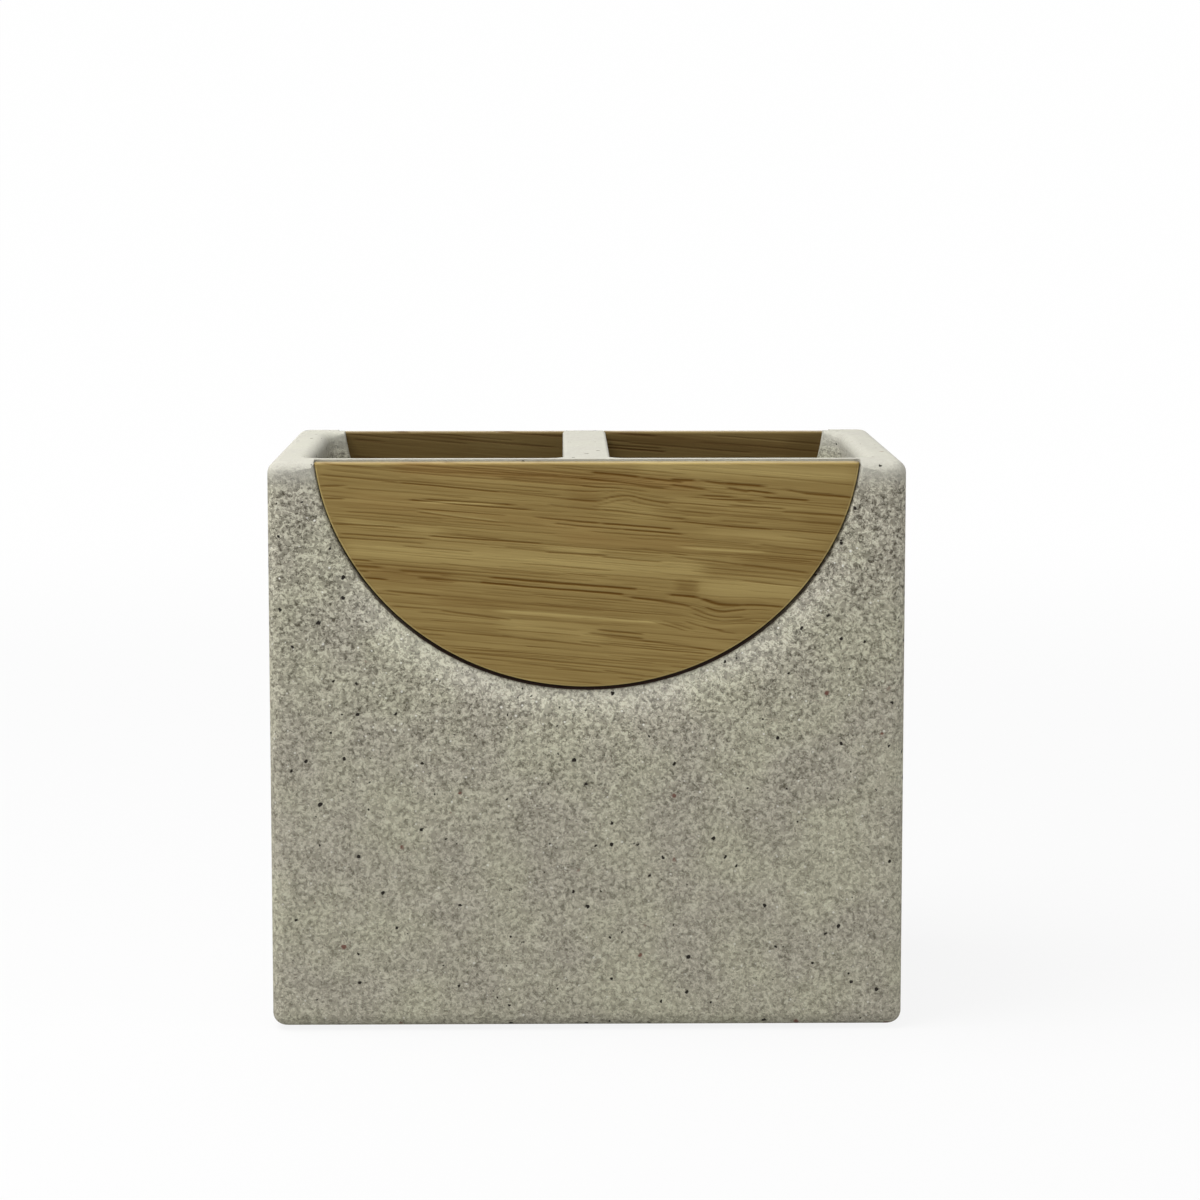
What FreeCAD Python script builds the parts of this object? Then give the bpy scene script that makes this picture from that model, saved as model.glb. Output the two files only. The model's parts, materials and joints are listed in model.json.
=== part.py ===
# Toothbrush holder: a cast stone-resin box with two wells and a bamboo half-disc let into its
# front and its rear wall. It stands on four foam pads.
#
# Frame: millimetres, +Z up, +X to the right seen from the front, which faces -Y. The origin is
# under the middle of the holder, on the surface that its pads stand on. The casting and what is
# let into it are drawn with z = 0 in the plane of the rim, and their Placement lifts them.

import FreeCAD, Part
import Sketcher
import math
import os

SIZES = [
    ("holder_width", 130, "casting, left to right"),
    ("holder_depth", 80, "casting, front to rear"),
    ("holder_height", 117.2, "casting, underside to rim"),
    ("corner_radius", 3.2, "upright outer corners"),
    ("rim_outer_radius", 2.6, "outer edge of the rim"),
    ("base_edge_radius", 2.6, "outer edge of the underside"),
    ("side_wall", 7.8, "left and right walls at the rim"),
    ("end_wall", 7.8, "front and rear walls at the rim"),
    ("divider_thickness", 9.6, "wall between the wells at the rim"),
    ("floor_thickness", 9, "stone under each well"),
    ("well_draft", 0.8, "slope of the well walls, degrees"),
    ("well_corner_radius", 5, "well corners at the side walls"),
    ("divider_corner_radius", 3.5, "well corners at the divider"),
    ("well_floor_radius", 1.2, "edge of each well's floor"),
    ("side_rim_radius", 2.4, "inner edge of the rim at the side walls"),
    ("well_edge_radius", 0.8, "top edges of the divider and inner edge of the front wall"),
    ("seat_mouth_bevel", 0.5, "eased stone edge round each half-disc"),
    ("inlay_side_margin", 9.5, "stone beside the half-disc, at its widest"),
    ("inlay_flattening", 3.3, "how much shorter its upright half-axis is than its level one"),
    ("inlay_centre_rise", 5.9, "centre of its ellipse above the rim"),
    ("inlay_top_drop", 0.4, "its straight top edge below the rim"),
    ("inlay_thickness", 4, "bamboo panel"),
    ("inlay_setback", 0.5, "face of the panel behind the face of the casting"),
    ("inlay_edge_break", 0.3, "bevel round the panel's face"),
    ("inlay_gap", 0.35, "clearance round the panel in its seat"),
    ("bond_thickness", 0.2, "adhesive behind each panel"),
    ("bond_inset", 1.5, "edge of the front adhesive inside the panel's edge"),
    ("ledge_width", 1.2, "ledge round the rear window"),
    ("bead_inset", 0.2, "rear adhesive inside both edges of its ledge"),
    ("cove_side_width", 5.3, "dished cove beside the half-disc"),
    ("cove_bottom_width", 11.8, "dished cove below the half-disc"),
    ("cove_bottom_depth", 1.5, "cove at the lowest point of the half-disc"),
    ("cove_rim_depth", 0.45, "cove beside the half-disc at the rim"),
    ("pad_diameter", 12, "foam pad"),
    ("pad_thickness", 2, "foam pad"),
    ("pad_seat_depth", 1.2, "seat of a pad in the underside"),
    ("pad_seat_gap", 0.3, "clearance round a pad in its seat"),
    ("pad_side_inset", 15, "centre of a pad from the side of the casting"),
    ("pad_end_inset", 15, "centre of a pad from the front or rear of the casting"),
    ("overrun", 3, "how far a cut runs on past the stone"),
]

# The cove is lofted through three ellipses. The middle one lies this far from the outer one
# towards the half-disc, and has this much of the depth.
MIDDLE_PLACE_SHARE = 0.5
MIDDLE_DEPTH_SHARE = 0.36

HALF_WIDTH = "(Sizes.holder_width / 2 - Sizes.inlay_side_margin)"
HALF_HEIGHT = f"({HALF_WIDTH} - Sizes.inlay_flattening)"
INLAY_REACH = f"({HALF_HEIGHT} - Sizes.inlay_centre_rise)"
SEAT_DEPTH = "(Sizes.inlay_setback + Sizes.inlay_thickness + Sizes.bond_thickness)"
WELL_DEPTH = "(Sizes.holder_height - Sizes.floor_thickness)"
RIM_LEVEL = "Sizes.holder_height + Sizes.pad_thickness - Sizes.pad_seat_depth"
RIGHT = FreeCAD.Vector(1, 0, 0)
REARWARD = FreeCAD.Vector(0, 1, 0)
UP = FreeCAD.Vector(0, 0, 1)
CLOSE = 1e-4

doc = FreeCAD.newDocument("ToothbrushHolder")


def make_sheet():
    sheet = doc.addObject("Spreadsheet::Sheet", "Sizes")
    for row, (alias, value, note) in enumerate(SIZES, start=1):
        sheet.set(f"A{row}", note)
        sheet.set(f"B{row}", str(value))
        sheet.setAlias(f"B{row}", alias)
    doc.recompute()
    return sheet


sizes = make_sheet()


def bind(thing, **expressions):
    """Bind properties to expressions. Two underscores in a name stand for a dot."""
    for path, expression in expressions.items():
        thing.setExpression(path.replace("__", "."), expression)


def value_of(expression):
    return float(sizes.evalExpression(expression.replace("Sizes.", "")))


def edges_where(shape, test):
    return [number for number, edge in enumerate(shape.Edges, start=1) if test(edge)]


def new_body(label, turned_round=False):
    """A body drawn at rim level, turned half round the vertical axis if it belongs to the rear."""
    body = doc.addObject("PartDesign::Body", label)
    if turned_round:
        body.Placement = FreeCAD.Placement(FreeCAD.Vector(), FreeCAD.Rotation(UP, 180))
    bind(body, Placement__Base__z=RIM_LEVEL)
    return body


def new_sketch(body, name, role, offset="0"):
    """A sketch on one of the body's own planes, moved along that plane's normal."""
    sketch = body.newObject("Sketcher::SketchObject", name)
    plane = next(plane for plane in body.Origin.OriginFeatures if plane.Role == role)
    sketch.AttachmentSupport = (plane, [""])
    sketch.MapMode = "FlatFace"
    bind(sketch, AttachmentOffset__Base__z=offset)
    return sketch


def constrain(sketch, name, expression, *constraint):
    """Add a dimension to a sketch and bind it to an expression."""
    index = sketch.addConstraint(Sketcher.Constraint(*constraint, value_of(expression)))
    sketch.renameConstraint(index, name)
    sketch.setExpression(f"Constraints.{name}", expression)


def draw_rectangle(sketch, name, left, right, low, high):
    """A rectangle whose sides lie at signed distances from the sketch's origin."""
    x_low, x_high, y_low, y_high = (value_of(side) for side in (left, right, low, high))
    places = [(x_low, y_low), (x_high, y_low), (x_high, y_high), (x_low, y_high)]
    corners = [FreeCAD.Vector(x, y, 0) for x, y in places]
    bottom = sketch.GeometryCount
    for start, end in zip(corners, corners[1:] + corners[:1]):
        sketch.addGeometry(Part.LineSegment(start, end), False)
    right_side, top, left_side = bottom + 1, bottom + 2, bottom + 3
    loop = [bottom, right_side, top, left_side]
    for line, following in zip(loop, loop[1:] + loop[:1]):
        sketch.addConstraint(Sketcher.Constraint("Coincident", line, 2, following, 1))
    for line in (bottom, top):
        sketch.addConstraint(Sketcher.Constraint("Horizontal", line))
    for line in (right_side, left_side):
        sketch.addConstraint(Sketcher.Constraint("Vertical", line))
    constrain(sketch, f"{name}_left", left, "DistanceX", -1, 1, bottom, 1)
    constrain(sketch, f"{name}_right", right, "DistanceX", -1, 1, right_side, 2)
    constrain(sketch, f"{name}_low", low, "DistanceY", -1, 1, bottom, 1)
    constrain(sketch, f"{name}_high", high, "DistanceY", -1, 1, right_side, 2)


def draw_ellipse(sketch, half_width, half_height, centre):
    """An ellipse on the sketch's upright axis, its long axis level."""
    across, upright, middle = (value_of(size) for size in (half_width, half_height, centre))
    heart = FreeCAD.Vector(0, middle, 0)
    end = FreeCAD.Vector(across, middle, 0)
    top = FreeCAD.Vector(0, middle + upright, 0)
    outline = sketch.addGeometry(Part.Ellipse(end, top, heart), False)
    sketch.exposeInternalGeometry(outline)
    long_axis, short_axis = outline + 1, outline + 2
    sketch.addConstraint(Sketcher.Constraint("PointOnObject", outline, 3, -2))
    sketch.addConstraint(Sketcher.Constraint("Horizontal", long_axis))
    constrain(sketch, "centre", centre, "DistanceY", -1, 1, outline, 3)
    constrain(sketch, "long_axis", f"2 * {half_width}", "Distance", long_axis)
    constrain(sketch, "short_axis", f"2 * {half_height}", "Distance", short_axis)


def add_feature(body, kind, name, profile, length, reversed_way=False):
    feature = body.newObject(kind, name)
    feature.Profile = profile
    feature.Reversed = reversed_way
    bind(feature, Length=length)
    doc.recompute()
    return feature


def add_fillet(body, name, base, radius, test):
    """Round every edge of the body so far that passes the test."""
    fillet = body.newObject("PartDesign::Fillet", name)
    fillet.Base = (base, [f"Edge{number}" for number in edges_where(base.Shape, test)])
    bind(fillet, Radius=radius)
    doc.recompute()
    return fillet


def is_upright(edge):
    start, end = edge.Vertexes[0].Point, edge.Vertexes[-1].Point
    return math.hypot(end.x - start.x, end.y - start.y) < CLOSE < abs(end.z - start.z)


def is_level_at(edge, height):
    box = edge.BoundBox
    return abs(box.ZMin - height) < CLOSE and abs(box.ZMax - height) < CLOSE


def make_blank():
    """The casting before its coves, seats and window: the box, its two wells and pad seats."""
    body = doc.addObject("PartDesign::Body", "casting_blank")
    half_width, half_depth = "Sizes.holder_width / 2", "Sizes.holder_depth / 2"
    width, depth, height = (value_of(f"Sizes.holder_{side}") for side in ("width", "depth", "height"))
    side_wall, end_wall = value_of("Sizes.side_wall"), value_of("Sizes.end_wall")

    outline = new_sketch(body, "outline", "XY_Plane", "-Sizes.holder_height")
    draw_rectangle(outline, "box", f"-{half_width}", half_width, f"-{half_depth}", half_depth)
    box = add_feature(body, "PartDesign::Pad", "box", outline, "Sizes.holder_height")
    corners = add_fillet(body, "corners", box, "Sizes.corner_radius", is_upright)

    mouths = new_sketch(body, "well_mouths", "XY_Plane")
    outer, inner = f"({half_width} - Sizes.side_wall)", "Sizes.divider_thickness / 2"
    low, high = f"-({half_depth} - Sizes.end_wall)", f"({half_depth} - Sizes.end_wall)"
    draw_rectangle(mouths, "left_well", f"-{outer}", f"-{inner}", low, high)
    draw_rectangle(mouths, "right_well", inner, outer, low, high)
    wells = add_feature(body, "PartDesign::Pocket", "wells", mouths, WELL_DEPTH)
    well_middle = (width / 2 - side_wall + value_of("Sizes.divider_thickness / 2")) / 2

    def in_well(thing):
        middle = thing.CenterOfMass
        beyond_x, beyond_y = width / 2 - side_wall, depth / 2 - end_wall
        return abs(middle.x) < beyond_x + CLOSE and abs(middle.y) < beyond_y + CLOSE

    def at_divider(edge):
        return abs(edge.CenterOfMass.x) < well_middle

    side_corners = add_fillet(
        body,
        "side_corners",
        wells,
        "Sizes.well_corner_radius",
        lambda edge: in_well(edge) and is_upright(edge) and not at_divider(edge),
    )
    divider_corners = add_fillet(
        body,
        "divider_corners",
        side_corners,
        "Sizes.divider_corner_radius",
        lambda edge: in_well(edge) and is_upright(edge) and at_divider(edge),
    )
    floor_level = -value_of(WELL_DEPTH)
    draft = body.newObject("PartDesign::Draft", "draft")
    draft.Base = (
        divider_corners,
        [
            f"Face{number}"
            for number, face in enumerate(divider_corners.Shape.Faces, start=1)
            if in_well(face) and face.BoundBox.ZLength > -floor_level - CLOSE
        ],
    )
    draft.NeutralPlane = (mouths.AttachmentSupport[0][0], [""])
    bind(draft, Angle="Sizes.well_draft")
    doc.recompute()
    floors = add_fillet(
        body,
        "well_floors",
        draft,
        "Sizes.well_floor_radius",
        lambda edge: is_level_at(edge, floor_level),
    )

    def outside_wells(edge):
        middle = edge.CenterOfMass
        beside = abs(middle.x) > width / 2 - side_wall + CLOSE
        return beside or abs(middle.y) > depth / 2 - end_wall + CLOSE

    rim = add_fillet(
        body,
        "rim",
        floors,
        "Sizes.rim_outer_radius",
        lambda edge: is_level_at(edge, 0) and outside_wells(edge),
    )
    base = add_fillet(
        body, "base", rim, "Sizes.base_edge_radius", lambda edge: is_level_at(edge, -height)
    )

    rounds = new_sketch(body, "pad_rounds", "XY_Plane", "-Sizes.holder_height")
    for x_sign in (-1, 1):
        for y_sign in (-1, 1):
            name = f"pad_{'left' if x_sign < 0 else 'right'}_{'front' if y_sign < 0 else 'rear'}"
            x_place = f"{x_sign} * ({half_width} - Sizes.pad_side_inset)"
            y_place = f"{y_sign} * ({half_depth} - Sizes.pad_end_inset)"
            centre = FreeCAD.Vector(value_of(x_place), value_of(y_place), 0)
            diameter = "Sizes.pad_diameter + 2 * Sizes.pad_seat_gap"
            round_seat = Part.Circle(centre, UP, value_of(diameter) / 2)
            circle = rounds.addGeometry(round_seat, False)
            constrain(rounds, f"{name}_x", x_place, "DistanceX", -1, 1, circle, 3)
            constrain(rounds, f"{name}_y", y_place, "DistanceY", -1, 1, circle, 3)
            constrain(rounds, f"{name}_size", diameter, "Diameter", circle)
    add_feature(
        body, "PartDesign::Pocket", "pad_seats", rounds, "Sizes.pad_seat_depth", reversed_way=True
    )
    return body


def make_ellipse(name, half_width, half_height, centre, setback):
    """An ellipse that faces the front, set back from the front face."""
    ellipse = doc.addObject("Part::Ellipse", name)
    ellipse.Placement = FreeCAD.Placement(FreeCAD.Vector(), FreeCAD.Rotation(RIGHT, 90))
    bind(
        ellipse,
        MajorRadius=half_width,
        MinorRadius=half_height,
        Placement__Base__y=f"{setback} - Sizes.holder_depth / 2",
        Placement__Base__z=centre,
    )
    return ellipse


def make_prism(name, outline, length):
    """The solid that an outline sweeps as it moves rearward."""
    prism = doc.addObject("Part::Extrusion", name)
    prism.Base = outline
    prism.DirMode = "Custom"
    prism.Dir = REARWARD
    prism.Solid = True
    bind(prism, LengthFwd=length)
    return prism


def make_mirrored(name, source):
    """The rear twin of something that is cut into the front."""
    twin = doc.addObject("Part::Mirroring", name)
    twin.Source = source
    twin.Normal = REARWARD
    return twin


def half_ellipse_wire(half_width, half_height, depth, sink):
    """The lower half of an ellipse about the half-disc's centre, closed by its level axis.

    Its plane lies in the front face at a depth of 0. At a depth of 1 it is as deep as the cove
    at the half-disc, which is more at the bottom than at the rim, and it sinks further by a
    length. It is half a unit circle stretched both ways, so either half-axis may be longer.
    """
    rim_depth, full_depth = value_of("Sizes.cove_rim_depth"), value_of("Sizes.cove_bottom_depth")
    centre = value_of("Sizes.inlay_centre_rise")
    slope = depth * (full_depth - rim_depth) / value_of(INLAY_REACH)
    setback = depth * rim_depth - slope * centre + sink
    stretch = FreeCAD.Matrix()
    stretch.scale(half_width, half_height, 1)
    half_circle = Part.Circle(FreeCAD.Vector(), UP, 1).toShape(math.pi, 2 * math.pi)
    arc = half_circle.transformGeometry(stretch).Edges[0]
    axis = Part.LineSegment(arc.lastVertex().Point, arc.firstVertex().Point).toShape()
    wire = Part.Wire([arc, axis])
    place = FreeCAD.Vector(0, setback - value_of("Sizes.holder_depth") / 2, centre)
    turn = 90 + math.degrees(math.atan(slope))
    wire.Placement = FreeCAD.Placement(place, FreeCAD.Rotation(RIGHT, turn))
    return wire


def make_loft(name, wires):
    loft = doc.addObject("Part::Feature", name)
    loft.Shape = Part.makeLoft(wires, True)
    return loft


def make_cove():
    """The dished crescent that slopes in to the half-disc, from the front face down."""
    side, bottom = value_of("Sizes.cove_side_width"), value_of("Sizes.cove_bottom_width")
    wires = []
    for place, depth in ((0, 0), (MIDDLE_PLACE_SHARE, MIDDLE_DEPTH_SHARE), (1, 1)):
        half_width = value_of(HALF_WIDTH) + (1 - place) * side
        half_height = value_of(HALF_HEIGHT) + (1 - place) * bottom
        wires.append(half_ellipse_wire(half_width, half_height, depth, 0))
    return make_loft("front_cove", wires)


def make_mouth():
    """The bevel where the cove turns in to the seat. It runs on past both by its own size."""
    bevel = value_of("Sizes.seat_mouth_bevel")
    half_width = value_of(f"{HALF_WIDTH} + Sizes.inlay_gap")
    half_height = value_of(f"{HALF_HEIGHT} + Sizes.inlay_gap")
    wires = [
        half_ellipse_wire(half_width + 2 * bevel, half_height + 2 * bevel, 1, -bevel),
        half_ellipse_wire(half_width - bevel, half_height - bevel, 1, 2 * bevel),
    ]
    return make_loft("front_mouth", wires)


def make_seat():
    """The half-disc's seat in the front wall, cut from in front of the casting."""
    edge = make_ellipse(
        "seat_edge",
        f"{HALF_WIDTH} + Sizes.inlay_gap",
        f"{HALF_HEIGHT} + Sizes.inlay_gap",
        "Sizes.inlay_centre_rise",
        "-Sizes.overrun",
    )
    return make_prism("front_seat", edge, f"{SEAT_DEPTH} + Sizes.overrun")


def make_window():
    """What is cut from the rear ledge into the wells, on either side of the divider."""
    edge = make_ellipse(
        "window_edge",
        f"{HALF_WIDTH} - Sizes.ledge_width",
        f"{HALF_HEIGHT} - Sizes.ledge_width",
        "Sizes.inlay_centre_rise",
        "Sizes.holder_depth - Sizes.end_wall - Sizes.well_corner_radius",
    )
    opening = make_prism("window_opening", edge, "Sizes.end_wall + Sizes.well_corner_radius")
    divider = doc.addObject("Part::Wedge", "divider_end")
    divider.Placement = FreeCAD.Placement(FreeCAD.Vector(), FreeCAD.Rotation(RIGHT, 90))
    top_half = "Sizes.divider_thickness / 2"
    foot_half = f"({top_half} + {WELL_DEPTH} * tan(Sizes.well_draft))"
    bind(
        divider,
        Xmin=f"-{foot_half}",
        Xmax=foot_half,
        X2min=f"-{top_half}",
        X2max=top_half,
        Ymin=f"-{WELL_DEPTH}",
        Ymax="0",
        Zmin="-Sizes.holder_depth / 2",
        Zmax="0",
        Z2min="-Sizes.holder_depth / 2",
        Z2max="0",
    )
    window = doc.addObject("Part::Cut", "rear_window")
    window.Base = opening
    window.Tool = divider
    return window


def rim_edges(shape):
    """The inner edges of the rim and the divider's top edges, with the radius at either end.

    The side walls' edges are well rounded and the others only eased, so the radius grows along
    each corner between the two. A fillet follows the edges round a well in the direction of the
    first one that it is given, so every edge has its ends listed that way round.
    """
    side = value_of("Sizes.holder_width / 2 - Sizes.side_wall")
    front = value_of("Sizes.end_wall - Sizes.holder_depth / 2")
    divider = value_of("Sizes.divider_thickness / 2")
    corner = value_of("Sizes.well_corner_radius")
    full, eased = value_of("Sizes.side_rim_radius"), value_of("Sizes.well_edge_radius")

    def radius_at(point):
        near_side = abs(point.x) > side - corner / 2
        return full if near_side and abs(point.y) < abs(front) - corner / 2 else eased

    def belongs(edge):
        middle = edge.CenterOfMass
        if not is_level_at(edge, 0) or abs(middle.x) > side + CLOSE:
            return False
        if edge.Curve.TypeId != "Part::GeomLine":
            return abs(middle.y) < abs(front)
        at_side = abs(abs(middle.x) - side) < CLOSE
        at_divider = abs(abs(middle.x) - divider) < CLOSE
        return at_side or at_divider or abs(middle.y - front) < CLOSE

    def sense(ends, well_middle):
        start, end = (point - FreeCAD.Vector(well_middle, 0, 0) for point in ends)
        return math.copysign(1, start.cross(end).z)

    edges, well_sense = [], {}
    for number in edges_where(shape, belongs):
        edge = shape.Edges[number - 1]
        ends = [edge.valueAt(edge.FirstParameter), edge.valueAt(edge.LastParameter)]
        well_middle = math.copysign((side + divider) / 2, edge.CenterOfMass.x)
        this_way = sense(ends, well_middle)
        if well_sense.setdefault(well_middle, this_way) != this_way:
            ends.reverse()
        edges.append((number, *(radius_at(point) for point in ends)))
    return edges


def cut_away(name, base, tool):
    """What is left of one solid when another is cut out of it."""
    carved = doc.addObject("Part::Cut", name)
    carved.Base = base
    carved.Tool = tool
    carved.Refine = True
    return carved


def make_casting(blank):
    """The casting: the blank less its coves, seats and window, with its inner edges eased."""
    carved = blank
    for name, tool in (("seat", make_seat()), ("cove", make_cove()), ("mouth", make_mouth())):
        carved = cut_away(f"less_front_{name}", carved, tool)
        carved = cut_away(f"less_rear_{name}", carved, make_mirrored(f"rear_{name}", tool))
    carved = cut_away("carved_casting", carved, make_window())
    doc.recompute()
    casting = doc.addObject("Part::Fillet", "stone_body")
    casting.Base = carved
    casting.Edges = rim_edges(carved.Shape)
    bind(casting, Placement__Base__z=RIM_LEVEL)
    doc.recompute()
    return casting


def saw_top(body, drop):
    """Cut a panel or its adhesive off straight, a drop below the rim."""
    above = new_sketch(body, "above", "XZ_Plane", "Sizes.holder_depth / 2")
    reach = HALF_WIDTH
    high = f"{HALF_WIDTH} + Sizes.inlay_centre_rise"
    draw_rectangle(above, "waste", f"-{reach}", reach, f"-({drop})", high)
    return add_feature(body, "PartDesign::Pocket", "saw_cut", above, "Sizes.holder_depth / 2")


def make_inlay(label, turned_round=False):
    """A bamboo half-disc: an elliptical panel sawn off straight near the rim, its face bevelled."""
    body = new_body(label, turned_round)
    outline = new_sketch(body, "outline", "XZ_Plane", "Sizes.holder_depth / 2 - Sizes.inlay_setback")
    draw_ellipse(outline, HALF_WIDTH, HALF_HEIGHT, "Sizes.inlay_centre_rise")
    add_feature(body, "PartDesign::Pad", "panel", outline, "Sizes.inlay_thickness", True)
    sawn = saw_top(body, "Sizes.inlay_top_drop")
    face = value_of("Sizes.inlay_setback - Sizes.holder_depth / 2")
    front = [
        f"Edge{number}"
        for number in edges_where(sawn.Shape, lambda edge: abs(edge.CenterOfMass.y - face) < CLOSE)
    ]
    bevel = body.newObject("PartDesign::Chamfer", "bevel")
    bevel.Base = (sawn, front)
    bind(bevel, Size="Sizes.inlay_edge_break")
    return body


def make_front_adhesive():
    """The cured sheet between the front panel and the floor of its seat."""
    body = new_body("front_adhesive")
    back = "Sizes.holder_depth / 2 - Sizes.inlay_setback - Sizes.inlay_thickness"
    outline = new_sketch(body, "outline", "XZ_Plane", back)
    half_width = f"({HALF_WIDTH} - Sizes.bond_inset)"
    half_height = f"({HALF_HEIGHT} - Sizes.bond_inset)"
    draw_ellipse(outline, half_width, half_height, "Sizes.inlay_centre_rise")
    add_feature(body, "PartDesign::Pad", "sheet", outline, "Sizes.bond_thickness", True)
    saw_top(body, "Sizes.inlay_top_drop + Sizes.bond_inset")
    return body


def make_rear_adhesive():
    """The cured bead on the rear ledge, with a strip of it on the end of the divider."""
    body = new_body("rear_adhesive", turned_round=True)
    back = "Sizes.holder_depth / 2 - Sizes.inlay_setback - Sizes.inlay_thickness"
    outline = new_sketch(body, "outline", "XZ_Plane", back)
    half_width = f"({HALF_WIDTH} - Sizes.bead_inset)"
    half_height = f"({HALF_HEIGHT} - Sizes.bead_inset)"
    draw_ellipse(outline, half_width, half_height, "Sizes.inlay_centre_rise")
    add_feature(body, "PartDesign::Pad", "disc", outline, "Sizes.bond_thickness", True)

    hole = new_sketch(body, "hole", "XZ_Plane", back)
    inner_width = f"({HALF_WIDTH} - Sizes.ledge_width + Sizes.bead_inset)"
    inner_height = f"({HALF_HEIGHT} - Sizes.ledge_width + Sizes.bead_inset)"
    draw_ellipse(hole, inner_width, inner_height, "Sizes.inlay_centre_rise")
    add_feature(body, "PartDesign::Pocket", "bead", hole, "Sizes.bond_thickness")

    strip = new_sketch(body, "strip", "XZ_Plane", back)
    half_strip = "(Sizes.divider_thickness / 2 - Sizes.bead_inset)"
    low = f"Sizes.ledge_width / 2 - {INLAY_REACH}"
    draw_rectangle(strip, "divider_end", f"-{half_strip}", half_strip, low, "Sizes.inlay_centre_rise")
    add_feature(body, "PartDesign::Pad", "strip", strip, "Sizes.bond_thickness", True)
    saw_top(body, "Sizes.inlay_top_drop + Sizes.bead_inset")
    return body


def make_pads():
    """The four foam pads, one in each seat of the underside."""
    pads = []
    for row, y_sign in (("front", "-"), ("rear", "")):
        for side, x_sign in (("left", "-"), ("right", "")):
            pad = doc.addObject("Part::Cylinder", f"foot_pad_{row}_{side}")
            bind(
                pad,
                Radius="Sizes.pad_diameter / 2",
                Height="Sizes.pad_thickness",
                Placement__Base__x=f"{x_sign}(Sizes.holder_width / 2 - Sizes.pad_side_inset)",
                Placement__Base__y=f"{y_sign}(Sizes.holder_depth / 2 - Sizes.pad_end_inset)",
            )
            pads.append(pad)
    return pads


def check_document():
    """Stop if any object of the document failed to compute."""
    for thing in doc.Objects:
        if "Invalid" in thing.State or "Error" in thing.State:
            raise RuntimeError(f"{thing.Label}: {thing.getStatusString()}")


def write_parts(pieces):
    for piece in pieces:
        shape = piece.Shape
        if shape.isNull() or not shape.isValid() or shape.Volume <= 0:
            raise RuntimeError(f"{piece.Label} has no sound shape")
    os.makedirs("parts", exist_ok=True)
    for piece in pieces:
        piece.Shape.exportStep(f"parts/{piece.Label}.step")
        box = piece.Shape.optimalBoundingBox()
        print(
            f"{piece.Label}: {piece.Shape.Volume:.1f} mm3,"
            f" x {box.XMin:.2f} to {box.XMax:.2f},"
            f" y {box.YMin:.2f} to {box.YMax:.2f},"
            f" z {box.ZMin:.2f} to {box.ZMax:.2f}"
        )


pieces = [
    make_casting(make_blank()),
    make_inlay("front_inlay"),
    make_inlay("rear_inlay", turned_round=True),
    make_front_adhesive(),
    make_rear_adhesive(),
    *make_pads(),
]
doc.recompute()
check_document()
write_parts(pieces)
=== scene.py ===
"""Looks for a toothbrush holder: a cast stone-resin box with two wells and two bamboo half-discs.

The packed model gives every shape and size. This file dresses it: the stone gets its grain and
its slightly uneven cast skin, the half-discs get broken edges and bamboo fibre, the pads their
foam. Lengths in the tables are millimetres, x to the right and z up, as seen from the front,
but for the two tables of readings, which are pixels of the photograph.
"""

import json
import math

import bpy
import numpy as np
from bpy.props import FloatProperty, FloatVectorProperty, IntProperty, PointerProperty
from mathutils import Matrix, Vector

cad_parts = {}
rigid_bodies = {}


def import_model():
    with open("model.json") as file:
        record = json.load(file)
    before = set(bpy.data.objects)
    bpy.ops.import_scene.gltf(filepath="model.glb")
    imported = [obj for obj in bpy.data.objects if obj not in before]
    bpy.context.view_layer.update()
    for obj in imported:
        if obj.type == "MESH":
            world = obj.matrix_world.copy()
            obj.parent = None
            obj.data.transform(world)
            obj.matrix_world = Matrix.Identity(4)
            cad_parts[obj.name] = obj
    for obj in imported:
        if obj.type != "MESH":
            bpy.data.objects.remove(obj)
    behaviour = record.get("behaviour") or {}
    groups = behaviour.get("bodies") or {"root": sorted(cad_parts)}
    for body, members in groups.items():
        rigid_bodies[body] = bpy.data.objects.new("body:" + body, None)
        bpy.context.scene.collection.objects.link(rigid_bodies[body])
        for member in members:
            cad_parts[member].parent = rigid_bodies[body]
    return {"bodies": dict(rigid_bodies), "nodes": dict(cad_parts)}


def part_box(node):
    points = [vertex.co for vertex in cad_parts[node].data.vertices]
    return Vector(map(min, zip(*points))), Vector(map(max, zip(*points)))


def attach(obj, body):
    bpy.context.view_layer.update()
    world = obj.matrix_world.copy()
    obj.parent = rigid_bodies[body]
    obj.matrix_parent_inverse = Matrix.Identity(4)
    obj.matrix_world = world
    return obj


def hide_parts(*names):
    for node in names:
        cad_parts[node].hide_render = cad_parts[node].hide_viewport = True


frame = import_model()

bl_info = {
    "name": "Stone and Bamboo Holder Looks",
    "version": (1, 0, 0),
    "blender": (4, 5, 0),
    "location": "3D View > Sidebar > Holder",
    "description": "Dresses a cast toothbrush holder in stone grain, bamboo fibre and foam",
    "category": "Object",
}

MM = 0.001
BODY = next(iter(frame["bodies"]))
PAD_NODES = [name for name in sorted(frame["nodes"]) if name.startswith("foot_pad")]

# How the two tables of readings lie on the front. They are pixels of the 1200 x 1200 photograph,
# read one by one. The column of the holder's middle and the row of its rim, then how many pixels
# make a millimetre across and down.
MIDDLE_COLUMN, RIM_ROW = 586.5, 463
PIXELS_ACROSS, PIXELS_DOWN = 4.892, 4.80

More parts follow.
